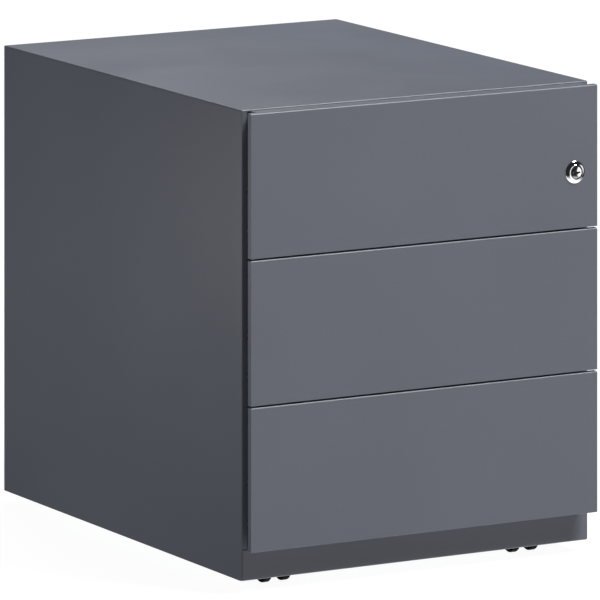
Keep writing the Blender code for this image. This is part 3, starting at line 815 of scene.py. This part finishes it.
def build_runner(drawer, side):
    """Both members of one ball runner, and its screws."""
    sign, tray_side, case_side, level = runner_places(drawer, side)
    outer_node = f"runner_{drawer}_{side}_outer"
    low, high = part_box(outer_node)
    web = case_side - RUNNER_SHEET / 2
    outer = channel_mesh(outer_node, sign, web, tray_side + OUTER_FLANGE_OFFSET)
    slots = (low.y + 52 * MM, low.y + 250 * MM, high.y - 23 * MM)
    outer = cut(outer, *slot_cutters(sign * web, slots, level, 9 * MM, 5 * MM))
    piece(f"{drawer}_{side}_outer_runner", outer, "case", ZINC, "runner_steel", outer_node)

    inner_node = f"runner_{drawer}_{side}_inner"
    low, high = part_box(inner_node)
    web = tray_side + RUNNER_SHEET / 2
    inner = channel_mesh(inner_node, sign, web, tray_side + INNER_FLANGE_OFFSET)
    slots = (low.y + 60 * MM, low.y + 200 * MM, low.y + 340 * MM)
    inner = cut(inner, *slot_cutters(sign * web, slots, level, 12 * MM, 5.5 * MM))
    body = f"drawer_{drawer}"
    piece(f"{drawer}_{side}_inner_runner", inner, body, ZINC, "runner_steel", inner_node)

    outwards = Matrix.Rotation(sign * math.pi / 2, 4, "Y")
    face = sign * (tray_side + RUNNER_SHEET)
    heads = [
        screw_mesh(Matrix.Translation((face, low.y + y, level)) @ outwards, 3.6 * MM, 1.7 * MM)
        for y in RUNNER_SCREW_PLACES
    ]
    piece(f"{drawer}_{side}_runner_screws", joined_mesh(heads), body, ZINC, "runner_steel")


def build_ball_cage(drawer, side):
    """The strip with its windows, and the balls that roll in it."""
    sign, tray_side, _, level = runner_places(drawer, side)
    node, body = f"runner_{drawer}_{side}_ball_cage", f"ball_cages_{drawer}"
    low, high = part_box(node)
    race = (high.z - low.z) / 2 - BALL_RADIUS
    web, edge = tray_side + CAGE_WEB_OFFSET, tray_side + CAGE_EDGE_OFFSET
    corners = [
        (edge, level + race),
        (web, level + race),
        (web, level - race),
        (edge, level - race),
    ]
    section = [(sign * x, z) for x, z in corners]
    strip = folded_mesh(section, ALONG_Y, low.y, high.y, CAGE_SHEET, CAGE_BEND)
    windows = [low.y + share * (high.y - low.y) for share in (0.25, 0.75)]
    strip = cut(strip, *slot_cutters(sign * web, windows, level, 22 * MM, 14 * MM))
    piece(f"{drawer}_{side}_ball_strip", strip, body, CAGE_STEEL, "ball_cage_steel", node)

    x = sign * (tray_side + BALL_OFFSET)
    places = [
        (x, low.y + (i + 0.5) * (high.y - low.y) / BALLS_IN_A_ROW, level + above)
        for i in range(BALLS_IN_A_ROW)
        for above in (-race, race)
    ]

    def add_balls(shape):
        for place in places:
            bmesh.ops.create_icosphere(
                shape, subdivisions=3, radius=BALL_RADIUS, matrix=Matrix.Translation(place)
            )

    piece(f"{drawer}_{side}_balls", mesh_from(add_balls), body, BALL_STEEL, "ball_cage_steel", node)


# --- lock -----------------------------------------------------------------------------------------
def build_lock():
    """Chrome barrel with a ring-shaped groove, the plug with its keyway, and the cam behind."""
    origin = lock_axis()
    place = axis_matrix(ALONG_Y, origin)
    low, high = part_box("lock_barrel")
    flange = (high.x - low.x) / 2
    proud = origin.y - low.y
    tail = origin.y - high.y

    def domed(start, end, steps=10):
        """Points out along the one shallow dome that the barrel's and the plug's faces share."""
        radii = [start + (end - start) * step / steps for step in range(steps + 1)]
        return [(radius, proud - radius**2 / (2 * LOCK_DOME)) for radius in radii]

    seam = domed(LOCK_BORE, LOCK_BORE)[0][1] - 0.35 * MM
    seat = 0.05 * MM
    barrel = [
        (LOCK_BORE, seam),
        (LOCK_BORE + 0.15 * MM, proud - 1.1 * MM),
        (LOCK_BORE + 0.9 * MM, proud - 1.0 * MM),
        *domed(LOCK_BORE + 1.3 * MM, flange - 0.5 * MM),
        (flange - 0.2 * MM, 0.5 * MM),
        (flange, 0.25 * MM),
        (flange, seat),
        (LOCK_BODY, seat),
        (LOCK_BODY, tail),
        (LOCK_BORE, tail),
    ]
    mesh = turned_mesh(barrel, place, 128)
    piece("lock_barrel_rings", mesh, f"drawer_{LOCK_DRAWER}", CHROME, "lock_chrome", "lock_barrel")

    back = origin.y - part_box("lock_plug")[1].y
    plug = [
        *domed(0, PLUG_RADIUS - 0.25 * MM),
        (PLUG_RADIUS, seam),
        (PLUG_RADIUS, tail),
        (PLUG_TAIL, tail),
        (PLUG_TAIL, back),
        (0, back),
    ]
    mesh = cut(turned_mesh(plug, place, 96), keyway_cutter(place, proud))
    piece("lock_plug_with_keyway", mesh, "lock_core", CHROME, "lock_chrome", "lock_plug")
    keep_node("lock_nut", ZINC, 0.4 * MM)
    keep_node("lock_cam", ZINC, 0.3 * MM)
    keep_node("lock_cam_screw", ZINC, 0.4 * MM)


def keyway_cutter(place, face):
    """A flat slot with one ward above it and one below, their ends a hair apart in depth."""
    half_width, half_height, depth = 4.7 * MM, 0.95 * MM, KEYWAY_DEPTH
    slot = box_mesh((-half_width, -half_height, face - depth), (half_width, half_height, face + depth))
    reach = depth * 0.999
    below = box_mesh((0.6 * MM, -2.1 * MM, face - reach), (2.2 * MM, 0, face + reach))
    reach = depth * 0.998
    above = box_mesh((-2.6 * MM, 0, face - reach), (-1.2 * MM, 1.9 * MM, face + reach))
    cutter = join(slot, below, above)
    cutter.transform(place)
    return cutter


# --- castors --------------------------------------------------------------------------------------
def build_castor(name):
    """Mount plate with its screws, hood with a web and axle, and two wheels."""
    mount = f"castor_{name}_mount"
    mount_low, mount_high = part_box(mount)
    pin = (mount_low + mount_high) / 2
    keep_node(mount, ZINC, 0.4 * MM)
    plate_low = mount_high.z - MOUNT_PLATE
    down = Matrix.Rotation(math.pi, 4, "X")
    heads = [
        screw_mesh(Matrix.Translation((pin.x + x, pin.y + y, plate_low)) @ down, 3.4 * MM, 1.3 * MM)
        for x in MOUNT_SCREW_PLACES
        for y in MOUNT_SCREW_PLACES
    ]
    piece(f"castor_{name}_screws", joined_mesh(heads), "case", ZINC, "runner_steel")

    hood_low, hood_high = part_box(f"castor_{name}_hood")
    wheel_low, wheel_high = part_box(f"castor_{name}_wheel_right")
    axle = Vector((pin.x, (wheel_low.y + wheel_high.y) / 2, (wheel_low.z + wheel_high.z) / 2))
    across = axis_matrix(ALONG_X, axle)
    half, radius = (hood_high.x - hood_low.x) / 2, axle.y - hood_low.y
    web = wheel_low.x - pin.x - HOOD_PLAY
    axle_end = wheel_high.x - pin.x - HOOD_PLAY
    well = (wheel_high.z - wheel_low.z) / 2 + WELL_PLAY
    rim = rounded_rim(radius, half, 0.6 * (radius - well))
    near_side = [(0, web), (well, web), (well, half), *rim]
    hood = turned_mesh([*near_side, *mirrored(near_side)], across, 96)

    reach = 2 * BEYOND
    skirt = axle.z - 0.3 * MM
    under_skirt = box_mesh(
        (axle.x - reach, axle.y - reach, -reach), (axle.x + reach, axle.y + reach, skirt)
    )
    under_web = box_mesh(
        (axle.x - reach, axle.y - reach, -reach), (axle.x + reach, axle.y + reach, WEB_BOTTOM)
    )
    upright = axis_matrix(UP_Z, (pin.x, pin.y, 0))
    boss_bottom, boss_top, boss_radius = axle.z + 0.5 * MM, hood_high.z, web - HOOD_PLAY
    boss_rim = rounded_rim(boss_radius, 0, 1.2 * MM)
    boss_side = [(out, boss_top + up) for out, up in boss_rim]
    boss_outline = [(0, boss_top), *boss_side, (boss_radius, boss_bottom), (0, boss_bottom)]
    boss = turned_mesh(boss_outline, upright, 64)
    disc_face = web - 0.4 * MM
    disc = cylinder_mesh(WEB_DISC, -disc_face, disc_face, across, 90)
    socket = cylinder_mesh(SOCKET_RADIUS, SOCKET_BOTTOM, boss_top + BEYOND, upright, 48)
    hood = cut(join(cut(hood, under_skirt), disc, boss), under_web, socket)
    axle_pin = cylinder_mesh(AXLE_RADIUS, -axle_end, axle_end, across, 32)
    hood = joined_mesh([hood, axle_pin])
    node = f"castor_{name}_hood"
    piece(f"castor_{name}_moulded_hood", hood, f"castor_{name}_swivel", NYLON, "black_plastic", node)
    for side, sign in SIDES.items():
        build_wheel(f"castor_{name}_wheel_{side}", sign)


def build_wheel(node, sign):
    """A narrow nylon wheel: rounded tread, dished outer face, raised hub ring."""
    low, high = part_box(node)
    centre = (low + high) / 2
    radius, half = (high.z - low.z) / 2, (high.x - low.x) / 2
    outer_face = [
        (WHEEL_BORE, half),
        (4.6 * MM, half),
        (5.0 * MM, half - 0.4 * MM),
        (5.6 * MM, half - WHEEL_DISH),
        (10.6 * MM, half - WHEEL_DISH),
        (11.3 * MM, half - 0.3 * MM),
        (11.8 * MM, half),
    ]
    rim = rounded_rim(radius, half, WHEEL_TREAD)
    outline = [*outer_face, *rim, *mirrored(rim), (WHEEL_BORE, -half)]
    flip = Matrix.Identity(4) if sign > 0 else Matrix.Rotation(math.pi, 4, "X")
    mesh = turned_mesh(outline, axis_matrix(ALONG_X, centre) @ flip, 96)
    piece(f"{node}_tyre", mesh, node, TREAD, "wheel_tread", node)


# --- the rest of the CAD nodes --------------------------------------------------------------------
def finish_plain_nodes():
    """The CAD nodes whose own shapes are shown, with their finishes."""
    for node in ("back_panel", "top_front_rail"):
        keep_node(node, PAINT)
    for place in ("front", "rear"):
        for side in SIDES:
            keep_node(f"upright_{place}_{side}", PAINT)
    for drawer in DRAWERS:
        keep_node(f"drawer_{drawer}_catch", ZINC)
    keep_node("lock_bar", ZINC)
    for place in ("lower", "upper"):
        keep_node(f"lock_bar_guide_{place}", NYLON)


# --- stage, light and camera ----------------------------------------------------------------------
# The studio's far surroundings: an even dim level, and soft bright areas on top of it, each given by
# its direction, the half angles between which it fades out, and its strength.
SURROUNDINGS = (0.02, 0.02, 0.02)
GLOWS = {
    "bounce_from_below": ((0.0, 0.0, -1.0), 40, 70, 1.55),
    "low_front_right": ((0.80, -0.60, -0.10), 16, 24, 1.3),
}
# Soft boxes: where each stands, its width and height, and its power in watts. They aim at AIM_HEIGHT.
SOFT_BOXES = {
    "overhead": ((2.47, -2.73, 5.66), 2.3, 2.3, 550.0),
    "over_the_back": ((0.08, 0.72, 1.35), 0.5, 0.5, 5.6),
    "left_fill": ((-0.80, 0.07, 0.27), 1.0, 0.25, 1.3),
}
AIM_HEIGHT = 0.27
FLOOR_SIZE = 60
FLOOR_GREY = (0.12, 0.12, 0.12, 1.0)
FLOOR_GLOW = 0.95
WHITE = (1.0, 1.0, 1.0, 1.0)
# The camera keeps verticals upright, as a shifted lens does: its picture plane stands upright,
# turned by CAMERA_HEADING, while it looks along a line with these slopes sideways and down.
CAMERA_PLACE = Vector((-3.9989, -7.1917, 1.6947))
CAMERA_HEADING = math.radians(29.968)
AIM_SIDEWAYS = -0.01509
AIM_DOWN = 0.17597
LENS = 463.74
SENSOR_WIDTH = 36.0
CAMERA_CLIP_END = 200


def build_world():
    """A dim even studio with soft bright areas, each given by its direction."""
    world = bpy.data.worlds.new("studio")
    bpy.context.scene.world = world
    world.use_nodes = True
    tree = world.node_tree
    direction = tree.nodes.new("ShaderNodeTexCoord").outputs["Generated"]
    colour = None
    for name, (towards, inner, outer, strength) in GLOWS.items():
        dot = tree.nodes.new("ShaderNodeVectorMath")
        dot.operation = "DOT_PRODUCT"
        dot.inputs[1].default_value = Vector(towards).normalized()
        tree.links.new(direction, dot.inputs[0])
        fade = tree.nodes.new("ShaderNodeMapRange")
        fade.label = name
        fade.interpolation_type = "SMOOTHSTEP"
        fade.inputs["From Min"].default_value = math.cos(math.radians(outer))
        fade.inputs["From Max"].default_value = math.cos(math.radians(inner))
        fade.inputs["To Max"].default_value = strength
        tree.links.new(dot.outputs["Value"], fade.inputs["Value"])
        add = tree.nodes.new("ShaderNodeMix")
        add.data_type = "RGBA"
        add.blend_type = "ADD"
        add.clamp_result = False
        add.inputs[MIX_FACTOR].default_value = 1.0
        if colour is None:
            add.inputs[MIX_FIRST].default_value = (*SURROUNDINGS, 1.0)
        else:
            tree.links.new(colour, add.inputs[MIX_FIRST])
        tree.links.new(fade.outputs["Result"], add.inputs[MIX_SECOND])
        colour = add.outputs[MIX_RESULT]
    tree.links.new(colour, tree.nodes["Background"].inputs["Color"])


def build_soft_boxes():
    """Rectangular soft lights that aim at the object, and that the camera doesn't see."""
    target = Vector((0, 0, AIM_HEIGHT))
    for name, (place, width, height, power) in SOFT_BOXES.items():
        light = bpy.data.lights.new(name, "AREA")
        light.shape = "RECTANGLE"
        light.size = width
        light.size_y = height
        light.energy = power
        box = bpy.data.objects.new(name, light)
        bpy.context.scene.collection.objects.link(box)
        box.location = place
        box.rotation_euler = (target - Vector(place)).to_track_quat("-Z", "Y").to_euler()
        box.visible_camera = False


def build_floor():
    """A pale floor that glows evenly, and that throws no light on the object and stops none."""
    half = FLOOR_SIZE / 2

    def build(shape):
        bmesh.ops.create_grid(shape, x_segments=1, y_segments=1, size=half)

    mesh = mesh_from(build)
    floor = bpy.data.objects.new("pale_floor", mesh)
    bpy.context.scene.collection.objects.link(floor)
    floor.location.z = CAD_BOX[0].z
    nodes = Nodes("pale_floor")
    nodes.set(Base_Color=FLOOR_GREY, Roughness=0.9)
    nodes.set(Emission_Color=WHITE, Emission_Strength=FLOOR_GLOW)
    mesh.materials.append(nodes.material)
    floor.visible_diffuse = False
    floor.visible_glossy = False
    floor.visible_shadow = False


def build_camera():
    """A camera whose parent leans its view but keeps its picture plane upright."""
    right = Vector((math.cos(CAMERA_HEADING), -math.sin(CAMERA_HEADING), 0))
    forward = Vector((math.sin(CAMERA_HEADING), math.cos(CAMERA_HEADING), 0))
    up = Vector((0, 0, 1))
    view = (forward + AIM_SIDEWAYS * right - AIM_DOWN * up).normalized()
    leaning = Matrix((right, up, -view)).transposed()
    turn, stretch, back_turn = split_lean(leaning)
    data = bpy.data.cameras.new("camera")
    data.lens = LENS
    data.sensor_width = SENSOR_WIDTH
    data.clip_end = CAMERA_CLIP_END
    camera = bpy.data.objects.new("camera", data)
    holder = bpy.data.objects.new("camera_holder", None)
    for obj in (holder, camera):
        bpy.context.scene.collection.objects.link(obj)
    holder.location = CAMERA_PLACE
    holder.rotation_mode = "QUATERNION"
    holder.rotation_quaternion = turn.to_quaternion()
    holder.scale = stretch
    camera.parent = holder
    camera.rotation_mode = "QUATERNION"
    camera.rotation_quaternion = back_turn.to_quaternion()
    bpy.context.scene.camera = camera


def split_lean(matrix):
    """The matrix as a turn, a stretch along the turned axes, and a second turn."""
    first, stretch, second = np.linalg.svd(np.array(matrix))
    if np.linalg.det(first) < 0:
        first[:, 2] *= -1
        second[2, :] *= -1
    return Matrix(first.tolist()), Vector(stretch.tolist()), Matrix(second.tolist())


bpy.context.scene.view_settings.view_transform = "Standard"
build_case_shell()
build_base_and_plinth()
for drawer in DRAWERS:
    build_drawer_front(drawer)
    build_tray(drawer)
    build_plate_screws(drawer)
    for side in SIDES:
        build_runner(drawer, side)
        build_ball_cage(drawer, side)
build_lock()
for castor in CASTORS:
    build_castor(castor)
finish_plain_nodes()
build_world()
build_soft_boxes()
build_floor()
build_camera()
